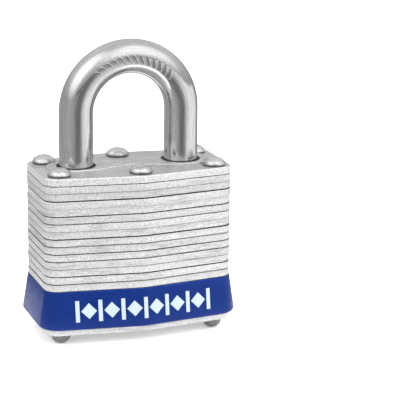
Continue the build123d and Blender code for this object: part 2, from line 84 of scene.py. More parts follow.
class Graph:
    """A material's node tree, with short calls for the nodes that the finishes share."""

    def __init__(self, name: str) -> None:
        """Start a material with one Principled shader.

        Args:
            name: The material's name.
        """
        self.material = bpy.data.materials.new(name)
        self.material.use_nodes = True
        self.tree = self.material.node_tree
        self.tree.nodes.clear()
        output = self.tree.nodes.new("ShaderNodeOutputMaterial")
        self.shader = self.tree.nodes.new("ShaderNodeBsdfPrincipled")
        self.link(self.shader.outputs["BSDF"], output.inputs["Surface"])
        self.place = self.tree.nodes.new("ShaderNodeTexCoord").outputs["Object"]

    def link(self, source: Socket, target: Socket) -> None:
        """Join two sockets."""
        self.tree.links.new(source, target)

    def feed(self, target: Socket, value: object) -> None:
        """Set a socket to a value, or join it to another socket.

        Args:
            target: The socket to fill.
            value: A number, a colour or another node's output.
        """
        if isinstance(value, Socket):
            self.link(value, target)
        else:
            target.default_value = value

    def set(self, **values: object) -> None:
        """Set the shader's own inputs.

        Args:
            values: A value or socket for each input, with underscores for the spaces in its name.
        """
        for name, value in values.items():
            self.feed(self.shader.inputs[name.replace("_", " ")], value)

    def scaled(self, scale: tuple[float, float, float], shift: float = 0.0) -> Socket:
        """Give the object's coordinates in pattern units.

        Args:
            scale: Pattern units per millimetre along each axis.
            shift: Moves the pattern, so that pieces don't repeat each other.

        Returns:
            The scaled coordinates.
        """
        node = self.tree.nodes.new("ShaderNodeMapping")
        node.inputs["Scale"].default_value = [s / MM for s in scale]
        node.inputs["Location"].default_value = (shift, shift * 0.7, shift * 1.3)
        self.link(self.place, node.inputs["Vector"])
        return node.outputs["Vector"]

    def noise(
        self, scale: tuple[float, float, float], detail: float = 3.0, rough: float = 0.6, shift: float = 0.0
    ) -> Socket:
        """Give a cloudy noise.

        Args:
            scale: Features per millimetre along each axis.
            detail: Octaves of finer noise.
            rough: How strong the finer octaves are.
            shift: Moves the pattern.

        Returns:
            The noise, from 0 to 1.
        """
        return self.noise_at(self.scaled(scale, shift), detail, rough)

    def noise_at(self, place: Socket, detail: float, rough: float) -> Socket:
        """Give a cloudy noise over coordinates.

        Args:
            place: The coordinates, in features.
            detail: Octaves of finer noise.
            rough: How strong the finer octaves are.

        Returns:
            The noise, from 0 to 1.
        """
        node = self.tree.nodes.new("ShaderNodeTexNoise")
        for name, number in (("Scale", 1.0), ("Detail", detail), ("Roughness", rough)):
            node.inputs[name].default_value = number
        self.link(place, node.inputs["Vector"])
        return node.outputs["Fac"]

    def cells(self, scale: tuple[float, float, float], shift: float = 0.0) -> Socket:
        """Scatter points through the piece.

        Args:
            scale: Points per millimetre along each axis.
            shift: Moves the pattern.

        Returns:
            The distance to the nearest point.
        """
        node = self.tree.nodes.new("ShaderNodeTexVoronoi")
        node.inputs["Scale"].default_value = 1.0
        self.link(self.scaled(scale, shift), node.inputs["Vector"])
        return node.outputs["Distance"]

    def band(
        self, value: Socket, low: float, high: float, to_low: float = 0.0, to_high: float = 1.0
    ) -> Socket:
        """Map a range of a value smoothly onto another range.

        Args:
            value: What to map.
            low: Where the range starts.
            high: Where it ends.
            to_low: What its start becomes.
            to_high: What its end becomes.

        Returns:
            The mapped value.
        """
        node = self.tree.nodes.new("ShaderNodeMapRange")
        node.interpolation_type = "SMOOTHSTEP"
        for name, number in (("From Min", low), ("From Max", high), ("To Min", to_low), ("To Max", to_high)):
            node.inputs[name].default_value = number
        self.link(value, node.inputs["Value"])
        return node.outputs["Result"]

    def math(self, operation: str, first: object, second: object = 0.0) -> Socket:
        """Work out a sum.

        Args:
            operation: The math node's operation.
            first: A number or socket.
            second: A number or socket.

        Returns:
            The result.
        """
        node = self.tree.nodes.new("ShaderNodeMath")
        node.operation = operation
        self.feed(node.inputs[0], first)
        self.feed(node.inputs[1], second)
        return node.outputs["Value"]

    def mix(self, share: object, first: object, second: object, blend: str = "MIX") -> Socket:
        """Mix two colours.

        Args:
            share: How much of the second shows, from 0 to 1.
            first: A colour or socket.
            second: A colour or socket.
            blend: The mix node's blend type.

        Returns:
            The mixed colour.
        """
        node = self.tree.nodes.new("ShaderNodeMix")
        node.data_type = "RGBA"
        node.blend_type = blend
        self.feed(node.inputs[0], share)
        for socket, value in ((node.inputs[6], first), (node.inputs[7], second)):
            self.feed(socket, (*value, 1.0) if isinstance(value, tuple) else value)
        return node.outputs[2]

    def axis(self, name: str) -> Socket:
        """Give one coordinate of the place on the piece.

        Args:
            name: X, Y or Z.

        Returns:
            The coordinate in millimetres.
        """
        node = self.tree.nodes.new("ShaderNodeSeparateXYZ")
        self.link(self.scaled((1, 1, 1)), node.inputs["Vector"])
        return node.outputs[name]

    def relief(self, height: Socket, depth_mm: float, strength: float = 1.0) -> None:
        """Bump the surface by a height map.

        Args:
            height: The map, from 0 to 1.
            depth_mm: Height of a full step.
            strength: Share of it that shows.
        """
        node = self.tree.nodes.new("ShaderNodeBump")
        node.inputs["Distance"].default_value = depth_mm * MM
        node.inputs["Strength"].default_value = strength
        self.link(height, node.inputs["Height"])
        self.link(node.outputs["Normal"], self.shader.inputs["Normal"])


class Lay(Enum):
    """Which way up a punched plate lies."""

    ROLL_UP = "rolled edge up"
    ROLL_DOWN = "rolled edge down"


@dataclass(frozen=True)
class PlateFinish:
    """Matt zinc plating on the punched side of one steel plate, with painted shade along its top and bottom edges for
    the gaps between plates.
    """

    low: float
    thick: float
    lay: Lay
    seed: float
    tone: float = 1.0
    gap_shades: tuple[float, float] = (0.5, 0.5)
    pale: Colour = ZINC_PALE
    dull: Colour = ZINC_DULL

    def make(self, name: str) -> bpy.types.Material:
        """Make the material.

        Args:
            name: The plate's node.

        Returns:
            The finished material.
        """
        g = Graph(f"zinc_{name}")
        grain = g.noise(PLATE_GRAIN, GRAIN_DETAIL, GRAIN_ROUGH, self.seed)
        cloud = g.noise((0.16, 0.16, 0.5), 2.0, 0.5, self.seed + 3.1)
        streak = g.noise((0.30, 0.30, 6.0), 3.0, 0.65, self.seed + 7.7)
        smear = g.noise((0.11, 0.11, 0.6), 2.0, 0.5, self.seed + 13.0)
        speck = g.band(g.cells((1.7, 1.7, 2.2), self.seed), 0.02, 0.24, 1.0, 0.0)
        colour = g.mix(g.band(grain, 0.40, 0.58), self.dull, self.pale)
        colour = g.mix(g.band(cloud, 0.35, 0.65, 0.0, 0.25), colour, tuple(c * 0.74 for c in self.pale))
        worn = g.math("MULTIPLY", g.band(streak, 0.40, 0.58, 1.0, 0.0), g.band(smear, 0.46, 0.62, 0.20, 0.80))
        colour = g.mix(worn, colour, self.dull)
        colour = g.mix(g.math("MULTIPLY", speck, 0.40), colour, SPECK_GREY)
        rise = g.math("DIVIDE", g.math("SUBTRACT", g.axis("Z"), self.low), self.thick)
        up = g.math("SUBTRACT", 1.0, rise) if self.lay is Lay.ROLL_UP else rise
        ragged = g.math("ADD", up, g.math("MULTIPLY", g.math("SUBTRACT", grain, 0.5), 0.35))
        torn = g.band(ragged, 0.58, 0.72)
        colour = g.mix(g.math("MULTIPLY", torn, 0.22), colour, TORN_EDGE)
        # painted shade: darkens the plate's top and bottom edges, where the gaps between plates lie in shadow
        for edge, gap_shade in ((rise, self.gap_shades[0]), (g.math("SUBTRACT", 1.0, rise), self.gap_shades[1])):
            ragged = g.math("ADD", edge, g.math("MULTIPLY", g.math("SUBTRACT", grain, 0.5), 0.07))
            colour = g.mix(g.band(ragged, 0.04, 0.115, gap_shade, 0.0), colour, GAP_PAINTED_SHADE)
        colour = g.mix(1.0, colour, (self.tone, self.tone, self.tone), "MULTIPLY")
        g.set(Base_Color=colour, Metallic=0.5, Roughness=g.band(grain, 0.3, 0.7, 0.62, 0.42))
        g.set(Specular_IOR_Level=0.3)
        height = g.math("ADD", g.math("MULTIPLY", grain, 0.7), g.math("MULTIPLY", streak, 0.3))
        g.relief(height, 0.09, 0.6)
        return g.material


@dataclass(frozen=True)
class PanelFinish:
    """The top plate: the same plating on a rubbed flat face, duller where it was pressed, with a painted highlight
    along its rounded top edge and painted shade along its lowest edge.
    """

    rim: float = 33.70
    face: float = CASE_TOP
    pale: Colour = (0.80, 0.80, 0.80)
    dull: Colour = (0.44, 0.44, 0.445)

    def make(self, name: str) -> bpy.types.Material:
        """Make the material.

        Args:
            name: The node's name.

        Returns:
            The finished material.
        """
        g = Graph(f"zinc_{name}")
        grain = g.noise((2.6, 2.6, 6.0), GRAIN_DETAIL, GRAIN_ROUGH, 11.0)
        cloud = g.noise((0.22, 0.30, 0.4), 3.0, 0.55, 4.0)
        rub = g.noise((0.18, 2.6, 0.3), 3.0, 0.6, 9.0)
        colour = g.mix(g.band(grain, 0.40, 0.60), self.dull, self.pale)
        colour = g.mix(g.band(cloud, 0.40, 0.68, 0.0, 0.40), colour, self.dull)
        colour = g.mix(g.band(rub, 0.50, 0.62, 0.0, 0.35), colour, (0.88, 0.88, 0.88))
        side = g.band(g.axis("Z"), self.face - 0.22, self.face - 0.06, 1.0, 0.0)
        edge_grain = g.noise(PLATE_GRAIN, GRAIN_DETAIL, GRAIN_ROUGH, 3.0)
        plating = g.mix(g.band(edge_grain, 0.40, 0.58), ZINC_DULL, ZINC_PALE)
        colour = g.mix(side, colour, plating)
        # painted highlight: a near-white band along the rounded top edge of the plate's side
        painted_rim_highlight = g.math("MULTIPLY", g.band(g.axis("Z"), self.face - 0.30, self.face - 0.12),
                       g.band(g.axis("Z"), self.face - 0.10, self.face - 0.01, 1.0, 0.0))
        painted_rim_highlight = g.math("MULTIPLY", painted_rim_highlight, g.band(edge_grain, 0.40, 0.60, 0.1, 0.7))
        colour = g.mix(painted_rim_highlight, colour, (0.95, 0.95, 0.95))
        # painted shade: darkens the plate's lowest edge, in the gap over the plate below
        foot = g.band(g.axis("Z"), self.rim + 0.02, self.rim + 0.12, 0.9, 0.0)
        colour = g.mix(foot, colour, (0.06, 0.06, 0.06))
        g.set(Base_Color=colour, Metallic=g.band(side, 0.0, 1.0, 0.9, 0.5))
        g.set(Roughness=g.math("ADD", g.band(grain, 0.3, 0.7, 0.50, 0.34), g.math("MULTIPLY", side, 0.12)))
        g.relief(g.math("ADD", grain, g.math("MULTIPLY", rub, 0.5)), 0.05, 0.6)
        return g.material


@dataclass(frozen=True)
class RodFinish:
    """Satin plating on the bent rod, drawn along its length."""

    leg_x: float = LEG_X
    arch_z: float = ARCH_Z
    pale: Colour = (0.70, 0.70, 0.70)
    dull: Colour = (0.46, 0.46, 0.465)

    def along(self, g: Graph) -> Socket:
        """Follow the rod from its top down each leg.

        Args:
            g: The material's graph.

        Returns:
            Coordinates in millimetres: reach from the arch's middle, depth, and length along the rod.
        """
        x, y, z = (g.axis(name) for name in "XYZ")
        rise = g.math("MAXIMUM", g.math("SUBTRACT", z, self.arch_z), 0.0)
        reach = g.math("SQRT", g.math("ADD", g.math("MULTIPLY", x, x), g.math("MULTIPLY", rise, rise)))
        turn = g.math("MULTIPLY", g.math("ARCTAN2", x, rise), self.leg_x)
        drop = g.math("MINIMUM", g.math("SUBTRACT", z, self.arch_z), 0.0)
        length = g.math("ADD", g.math("ABSOLUTE", turn), g.math("MULTIPLY", drop, -1.0))
        node = g.tree.nodes.new("ShaderNodeCombineXYZ")
        for name, value in (("X", reach), ("Y", y), ("Z", length)):
            g.link(value, node.inputs[name])
        return node.outputs["Vector"]

    def lined(self, g: Graph, path: Socket, scale: tuple[float, float, float]) -> Socket:
        """Give noise drawn out along the rod.

        Args:
            g: The material's graph.
            path: Coordinates that follow the rod.
            scale: Features per millimetre along each of them.

        Returns:
            The noise, from 0 to 1.
        """
        mapping = g.tree.nodes.new("ShaderNodeMapping")
        mapping.inputs["Scale"].default_value = scale
        g.link(path, mapping.inputs["Vector"])
        return g.noise_at(mapping.outputs["Vector"], 4.0, 0.65)

    def make(self, name: str) -> bpy.types.Material:
        """Make the material.

        Args:
            name: The node's name.

        Returns:
            The finished material.
        """
        g = Graph(f"plated_{name}")
        path = self.along(g)
        drawn = self.lined(g, path, (3.6, 3.6, 0.16))
        grain = self.lined(g, path, (4.0, 4.0, 3.0))
        cloud = self.lined(g, path, (0.25, 0.25, 0.12))
        colour = g.mix(g.band(drawn, 0.34, 0.66, 0.35, 1.0), self.dull, self.pale)
        colour = g.mix(g.band(grain, 0.36, 0.62, 0.45, 0.0), colour, self.dull)
        colour = g.mix(g.band(cloud, 0.45, 0.70, 0.0, 0.20), colour, (0.42, 0.42, 0.425))
        rough = g.math("ADD", g.band(grain, 0.3, 0.7, 0.16, 0.09), g.band(cloud, 0.4, 0.7, 0.0, 0.05))
        g.set(Base_Color=colour, Metallic=1.0, Roughness=rough)
        height = g.math("ADD", g.math("MULTIPLY", drawn, 0.25), g.math("MULTIPLY", grain, 0.5))
        g.relief(height, 0.03, 0.35)
        return g.material


@dataclass(frozen=True)
class MetalFinish:
    """A plain metal with grain, clouding and pits."""

    pale: Colour
    dull: Colour
    rough: tuple[float, float] = (0.25, 0.45)
    grain: tuple[float, float, float] = (2.5, 2.5, 2.5)
    depth: float = 0.03
    pits: float = 0.25
    rings: float = 0.0

    def make(self, name: str) -> bpy.types.Material:
        """Make the material.

        Args:
            name: The material's name.

        Returns:
            The finished material.
        """
        g = Graph(name)
        grain = g.noise(self.grain, 4.0, 0.7, 2.0)
        cloud = g.noise((0.3, 0.3, 0.3), 2.0, 0.5, 5.0)
        pit = g.band(g.cells((1.3, 1.3, 1.3), 8.0), 0.05, 0.28, 1.0, 0.0)
        colour = g.mix(g.band(grain, 0.32, 0.66), self.dull, self.pale)
        colour = g.mix(g.band(cloud, 0.42, 0.68, 0.0, 0.35), colour, self.dull)
        colour = g.mix(g.math("MULTIPLY", pit, self.pits), colour, tuple(c * 0.45 for c in self.dull))
        height = grain
        if self.rings:
            x, y = g.axis("X"), g.axis("Y")
            away = g.math("SQRT", g.math("ADD", g.math("MULTIPLY", x, x), g.math("MULTIPLY", y, y)))
            lines = g.math("SINE", g.math("MULTIPLY", away, self.rings))
            height = g.math("ADD", grain, g.math("MULTIPLY", lines, 0.35))
        low, high = self.rough
        g.set(Base_Color=colour, Metallic=1.0, Roughness=g.band(grain, 0.3, 0.7, high, low))
        g.relief(height, self.depth, 0.5)
        return g.material


@dataclass(frozen=True)
class RivetFinish:
    """Bright plated rivet steel, with painted shade round the lower rim of each head and on the feet under the case.
    """

    rim: float = CASE_TOP
    foot: float = CASE_FOOT
    pale: Colour = (0.86, 0.86, 0.86)
    dull: Colour = (0.52, 0.52, 0.52)
    # colour of the painted shade on the feet under the case
    painted_foot_shade: Colour = (0.16, 0.16, 0.165)

    def make(self, name: str) -> bpy.types.Material:
        """Make the material.

        Args:
            name: The material's name.

        Returns:
            The finished material.
        """
        g = Graph(name)
        grain = g.noise((3.4, 3.4, 3.4), 4.0, 0.75, 2.0)
        cloud = g.noise((0.5, 0.5, 0.5), 2.0, 0.5, 5.0)
        pit = g.band(g.cells((1.5, 1.5, 1.5), 8.0), 0.05, 0.26, 1.0, 0.0)
        colour = g.mix(g.band(grain, 0.34, 0.64), self.dull, self.pale)
        colour = g.mix(g.band(cloud, 0.45, 0.66, 0.0, 0.35), colour, self.dull)
        colour = g.mix(g.math("MULTIPLY", pit, 0.3), colour, (0.16, 0.16, 0.16))
        height = g.axis("Z")
        ragged = g.math("ADD", height, g.math("MULTIPLY", cloud, 0.2))
        # painted shade: darkens the lower rim of each domed head, where it turns under
        rim_painted_shade = g.band(ragged, self.rim + 0.26, self.rim + 0.62, 0.85, 0.0)
        colour = g.mix(rim_painted_shade, colour, RIM_PAINTED_SHADE)
        # painted shade: darkens the feet under the case
        low = g.band(height, self.foot + 0.1, self.foot + 0.3, 1.0, 0.0)
        colour = g.mix(g.math("MULTIPLY", low, g.band(cloud, 0.3, 0.7, 0.98, 0.7)), colour, self.painted_foot_shade)
        g.set(Base_Color=colour, Metallic=1.0, Roughness=g.band(grain, 0.3, 0.7, 0.42, 0.24))
        g.relief(g.math("ADD", grain, g.math("MULTIPLY", cloud, 1.5)), 0.06, 0.5)
        return g.material


@dataclass(frozen=True)
class VinylFinish:
    """Satin royal blue vinyl with a faint moulded texture, rubbed paler at its edges."""

    low: float = SKIRT_LOW
    high: float = SKIRT_HIGH
    deep: Colour = (0.001, 0.017, 0.130)
    worn: Colour = (0.006, 0.034, 0.215)

    def make(self, name: str) -> bpy.types.Material:
        """Make the material.

        Args:
            name: The material's name.

        Returns:
            The finished material.
        """
        g = Graph(name)
        cloud = g.noise((0.12, 0.12, 0.2), 3.0, 0.55, 2.0)
        peel = g.noise((1.6, 1.6, 1.6), 2.0, 0.5, 6.0)
        fleck = g.noise((5.0, 5.0, 5.0), 2.0, 0.7, 1.0)
        scuff = g.noise((0.35, 0.35, 3.5), 4.0, 0.7, 12.0)
        colour = g.mix(g.band(cloud, 0.35, 0.7, 0.0, 0.25), self.deep, self.worn)
        colour = g.mix(g.band(fleck, 0.35, 0.7, 0.0, 0.10), colour, (0.002, 0.010, 0.07))
        height = g.axis("Z")
        brim = g.math("ADD", g.band(height, self.high - 0.28, self.high, 0.0, 1.0),
                      g.band(height, self.low, self.low + 0.5, 1.0, 0.0))
        rub = g.math("MULTIPLY", brim, g.band(scuff, 0.40, 0.62, 0.15, 0.8))
        colour = g.mix(rub, colour, (0.03, 0.07, 0.30))
        g.set(Base_Color=colour, Roughness=g.band(peel, 0.3, 0.7, 0.42, 0.30), IOR=1.46)
        g.set(Specular_IOR_Level=0.16)
        g.relief(g.math("ADD", peel, g.math("MULTIPLY", fleck, 0.25)), 0.02, 0.5)
        return g.material


@dataclass(frozen=True)
class PrintFinish:
    """Opaque pale print that has dulled a little."""

    pale: Colour = (0.42, 0.50, 0.55)

    def make(self, name: str) -> bpy.types.Material:
        """Make the material.

        Args:
            name: The material's name.

        Returns:
            The finished material.
        """
        g = Graph(name)
        grain = g.noise((3.0, 3.0, 3.0), 3.0, 0.6, 3.0)
        cloud = g.noise((0.4, 0.4, 0.9), 3.0, 0.6, 5.0)
        colour = g.mix(g.band(grain, 0.35, 0.7, 0.0, 0.22), self.pale, (0.28, 0.36, 0.47))
        colour = g.mix(g.band(cloud, 0.45, 0.7, 0.0, 0.25), colour, (0.31, 0.40, 0.52))
        g.set(Base_Color=colour, Roughness=g.band(grain, 0.3, 0.7, 0.5, 0.38))
        g.relief(grain, 0.015, 0.4)
        return g.material


def dress(node: str, material: bpy.types.Material) -> None:
    """Give a frame node its finish.

    Args:
        node: The node's name.
        material: Its finish.
    """
    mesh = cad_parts[node].data
    mesh.materials.clear()
    mesh.materials.append(material)


def add_object(shape: bmesh.types.BMesh, name: str, material: bpy.types.Material) -> bpy.types.Object:
    """Turn a bmesh in metres into an object in the scene.

    Args:
        shape: The shape, which is used up.
        name: The name of the object and its mesh.
        material: Its finish.

    Returns:
        The new object.
    """
    mesh = bpy.data.meshes.new(name)
    shape.to_mesh(mesh)
    shape.free()
    mesh.materials.append(material)
    item = bpy.data.objects.new(name, mesh)
    bpy.context.scene.collection.objects.link(item)
    return item


def finish_piece(
    shape: bmesh.types.BMesh, name: str, material: bpy.types.Material, body: str
) -> bpy.types.Object:
    """Turn a bmesh in millimetres into a piece that rides on a body.

    Args:
        shape: The shape, which is used up.
        name: The piece's name.
        material: Its finish.
        body: The body it moves with.

    Returns:
        The new object.
    """
    bmesh.ops.remove_doubles(shape, verts=shape.verts, dist=WELD_GAP)
    bmesh.ops.recalc_face_normals(shape, faces=shape.faces)
    bmesh.ops.scale(shape, vec=(MM, MM, MM), verts=shape.verts)
    for face in shape.faces:
        face.smooth = True
    piece = add_object(shape, name, material)
    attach(piece, body)
    return piece


def merge_into(whole: bmesh.types.BMesh, part: bmesh.types.BMesh) -> None:
    """Add one bmesh to another.

    Args:
        whole: The bmesh that grows.
        part: The bmesh to add, which is freed.
    """
    scratch = bpy.data.meshes.new("scratch")
    part.to_mesh(scratch)
    part.free()
    whole.from_mesh(scratch)
    bpy.data.meshes.remove(scratch)


def round_off(shape: bmesh.types.BMesh, parts: list, offset: float, segments: int, affect: str = "EDGES") -> None:
    """Round edges or corners off evenly.

    Args:
        shape: The shape that holds them.
        parts: Its edges or corner points.
        offset: How far back the rounding starts, in millimetres.
        segments: Facets across it.
        affect: EDGES or VERTICES.
    """
    bmesh.ops.bevel(shape, geom=parts, offset=offset, segments=segments, profile=0.5, affect=affect, material=-1)


@dataclass
class PlateStack:
    """The stack of punched steel plates that makes the case."""

    foot: float = CASE_FOOT
    plate: float = 1.57
    count: int = 21
    rolled_up: tuple[int, ...] = (4, 8, 10, 15, 16, 18, 20, 21)
    tones: tuple[float, ...] = (0.97, 1.02, 0.99, 1.04, 0.98, 1.0, 1.03, 0.96, 1.01, 1.0, 0.98, 1.03)
    gap_shades: tuple[float, ...] = (  # how dark the painted shade in the gap under each plate is, and last the one on top
        0.5, 0.5, 0.5, 0.5, 0.5, 0.5, 0.8, 0.7, 0.95, 0.45, 0.65,
        0.9, 0.5, 0.9, 0.3, 0.75, 1.0, 0.12, 1.0, 0.4, 0.85, 0.0,
    )

    def name(self, index: int) -> str:
        """Name a plate.

        Args:
            index: The plate, counted from 1 at the bottom.

        Returns:
            Its node's name.
        """
        if index == 1:
            return "bottom_plate"
        return "top_plate" if index == self.count else f"case_plate_{index:02d}"

    def dress(self) -> None:
        """Plate every layer, each with its own grain and tone."""
        for index in range(1, self.count):
            lay = Lay.ROLL_UP if index in self.rolled_up else Lay.ROLL_DOWN
            low = self.foot + (index - 1) * self.plate
            tone = self.tones[index % len(self.tones)]
            gap_shades = (self.gap_shades[index - 1], self.gap_shades[index])
            finish = PlateFinish(low, self.plate, lay, seed=index * 4.37, tone=tone, gap_shades=gap_shades)
            dress(self.name(index), finish.make(self.name(index)))
        dress(self.name(self.count), PanelFinish().make(self.name(self.count)))


@dataclass
class Rivets:
    """Headed steel rivets that hold the stack together, with hammered heads."""

    corners: tuple[tuple[float, float], ...] = ((-16.5, -6.08), (16.5, -6.08), (-16.5, 6.08), (16.5, 6.08))
    front_y: float = -7.95
    head_top: float = 36.97
    head_rise: float = 1.7
    head_radius: float = 2.35
    foot_top: float = CASE_FOOT
    foot_radius: float = 2.05
    shank_radius: float = 1.5
    inner_radius: float = 2.2
    inner_height: float = 0.8
    facets: int = 40
    rim_height: float = 0.3
    lip: float = 0.08
    foot_rim: float = 0.25
    dent_from: float = 0.15
    dent: float = 0.10
    fine_dent: float = 0.035
    finish: RivetFinish = RivetFinish()

    def lathe(self, profile: list[tuple[float, float]]) -> bmesh.types.BMesh:
        """Spin a profile of radius and height round the Z axis.

        Args:
            profile: The points, from the axis out and back to the axis.

        Returns:
            The closed shape.
        """
        shape = bmesh.new()
        points = [shape.verts.new((r, 0.0, z)) for r, z in profile]
        edges = [shape.edges.new(pair) for pair in zip(points, points[1:])]
        bmesh.ops.spin(
            shape, geom=points + edges, cent=(0, 0, 0), axis=(0, 0, 1), angle=math.tau, steps=self.facets,
            use_merge=True,
        )
        bmesh.ops.remove_doubles(shape, verts=shape.verts, dist=SPIN_WELD)
        return shape

    def head(self) -> list[tuple[float, float]]:
        """Draw the domed head.

        Returns:
            Radius and height of each point, from its crown to the shank.
        """
        rim = self.head_top - self.head_rise
        dome = self.head_rise - self.rim_height
        line = [(0.0, self.head_top)]
        for step in range(1, DOME_STEPS + 1):
            angle = step * math.pi / (2 * DOME_STEPS)
            line.append((self.head_radius * math.sin(angle), rim + self.rim_height + dome * math.cos(angle)))
        line += [(self.head_radius * 0.98, rim + self.lip), (self.head_radius * 0.93, rim)]
        return line + [(self.shank_radius, rim)]

    def foot(self) -> list[tuple[float, float]]:
        """Draw the half-round foot.

        Returns:
            Radius and height of each point, from the shank to its crown.
        """
        line = [(self.shank_radius, self.foot_top), (self.foot_radius * 0.97, self.foot_top)]
        dome = self.foot_top - self.foot_rim
        for step in range(1, DOME_STEPS):
            angle = step * math.pi / (2 * DOME_STEPS)
            line.append((self.foot_radius * math.cos(angle), dome * (1.0 - math.sin(angle))))
        return line + [(0.0, 0.0)]

    def inner_head(self, low: float) -> list[tuple[float, float]]:
        """Draw the flat head inside the case.

        Args:
            low: Height of its underside.

        Returns:
            Radius and height of each point, from the shank to the axis.
        """
        high = low + self.inner_height
        return [(self.shank_radius, high), (self.inner_radius, high), (self.inner_radius, low), (0.0, low)]

    def hammer(self, shape: bmesh.types.BMesh, seed: float) -> None:
        """Dent the domed head as a rivet set leaves it.

        Args:
            shape: The rivet.
            seed: Moves the pattern of dents.
        """
        rim = self.head_top - self.head_rise
        for vert in shape.verts:
            if vert.co.z > rim + self.dent_from:
                push = noise.noise(vert.co * 1.1 + Vector((seed, 0, 0))) * self.dent
                push += noise.noise(vert.co * 2.9 + Vector((0, seed, 0))) * self.fine_dent
                vert.co += Vector((vert.co.x * 0.3, vert.co.y * 0.3, -1.0)) * (abs(push) * 1.5)

    def build(self) -> None:
        """Model all the rivets and put them in place of the plain ones."""
        places = {"corner_rivets": self.corners, "lever_rivet_front": ((0.0, self.front_y),),
                  "lever_rivet_rear": ((0.0, -self.front_y),)}
        material = self.finish.make("rivet_bright")
        for node, spots in places.items():
            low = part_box(node)[0].z / MM
            profile = self.head() + (self.foot() if low < self.foot_top else self.inner_head(low))
            whole = bmesh.new()
            for x, y in spots:
                rivet = self.lathe(profile)
                self.hammer(rivet, seed=x * 0.7 + y * 1.3)
                bmesh.ops.translate(rivet, vec=(x, y, 0.0), verts=rivet.verts)
                merge_into(whole, rivet)
            piece = finish_piece(whole, f"{node}_hammered", material, "case")
            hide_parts(node)


@dataclass
class Shackle:
    """The bent steel rod, with a row of raised grip bars round the front of its arch."""

    rod: float = 3.5
    bend: float = LEG_X
    arch_z: float = ARCH_Z
    bars: int = 13
    first: float = -40.0
    last: float = 45.0
    bar_width: float = 0.62
    bar_length: float = 2.5
    bar_slant: float = math.radians(32.0)
    proud: float = 0.24
    sunk: float = 0.2
    soft_edge: float = 0.09
    tilt: float = -4.0

    def wrap(self, shape: bmesh.types.BMesh, turn: float, tilt: float) -> None:
        """Lay a flat shape on the rod's skin.

        Args:
            shape: X runs along the arch and Y across the rod in millimetres; Z is the height above the skin.
            turn: Degrees round the arch from its top, to the right.
            tilt: Degrees round the rod from its front, outwards.
        """
        for vert in shape.verts:
            along = math.radians(turn) + vert.co.x / self.bend
            across = math.radians(tilt) + vert.co.y / self.rod
            out = self.rod + vert.co.z
            reach = self.bend + out * math.sin(across)
            vert.co = Vector(
                (reach * math.sin(along), -out * math.cos(across), self.arch_z + reach * math.cos(along))
            )

    def bar(self, length: float, width: float) -> bmesh.types.BMesh:
        """Make a soft-edged bar, sunk a little into the skin.

        Args:
            length: Its size along Y.
            width: Its size along X.

        Returns:
            The flat bar, whose top is at the proud height.
        """
        shape = bmesh.new()
        bmesh.ops.create_cube(shape, size=1.0)
        bmesh.ops.scale(shape, vec=(width, length, self.proud + self.sunk), verts=shape.verts)
        bmesh.ops.translate(shape, vec=(0, 0, (self.proud - self.sunk) / 2), verts=shape.verts)
        upright = [e for e in shape.edges if abs(e.verts[0].co.z - e.verts[1].co.z) > 0.1]
        round_off(shape, upright, width * 0.42, 4)
        top = [f for f in shape.faces if f.normal.z > 0.9]
        round_off(shape, list(top[0].edges), self.soft_edge, 3)
        bmesh.ops.subdivide_edges(shape, edges=[e for e in shape.edges if e.calc_length() > 0.6], cuts=5,
                                  use_grid_fill=True)
        return shape

    def build(self) -> None:
        """Finish the rod and add its bars."""
        material = RodFinish().make("shackle")
        dress("shackle", material)
        whole = bmesh.new()
        for index in range(self.bars):
            turn = self.first + (self.last - self.first) * index / (self.bars - 1)
            bar = self.bar(self.bar_length, self.bar_width)
            bmesh.ops.rotate(bar, cent=(0, 0, 0), matrix=Matrix.Rotation(self.bar_slant, 3, "Z"), verts=bar.verts)
            self.wrap(bar, turn, self.tilt)
            merge_into(whole, bar)
        finish_piece(whole, "shackle_grip_bars", material, "shackle")


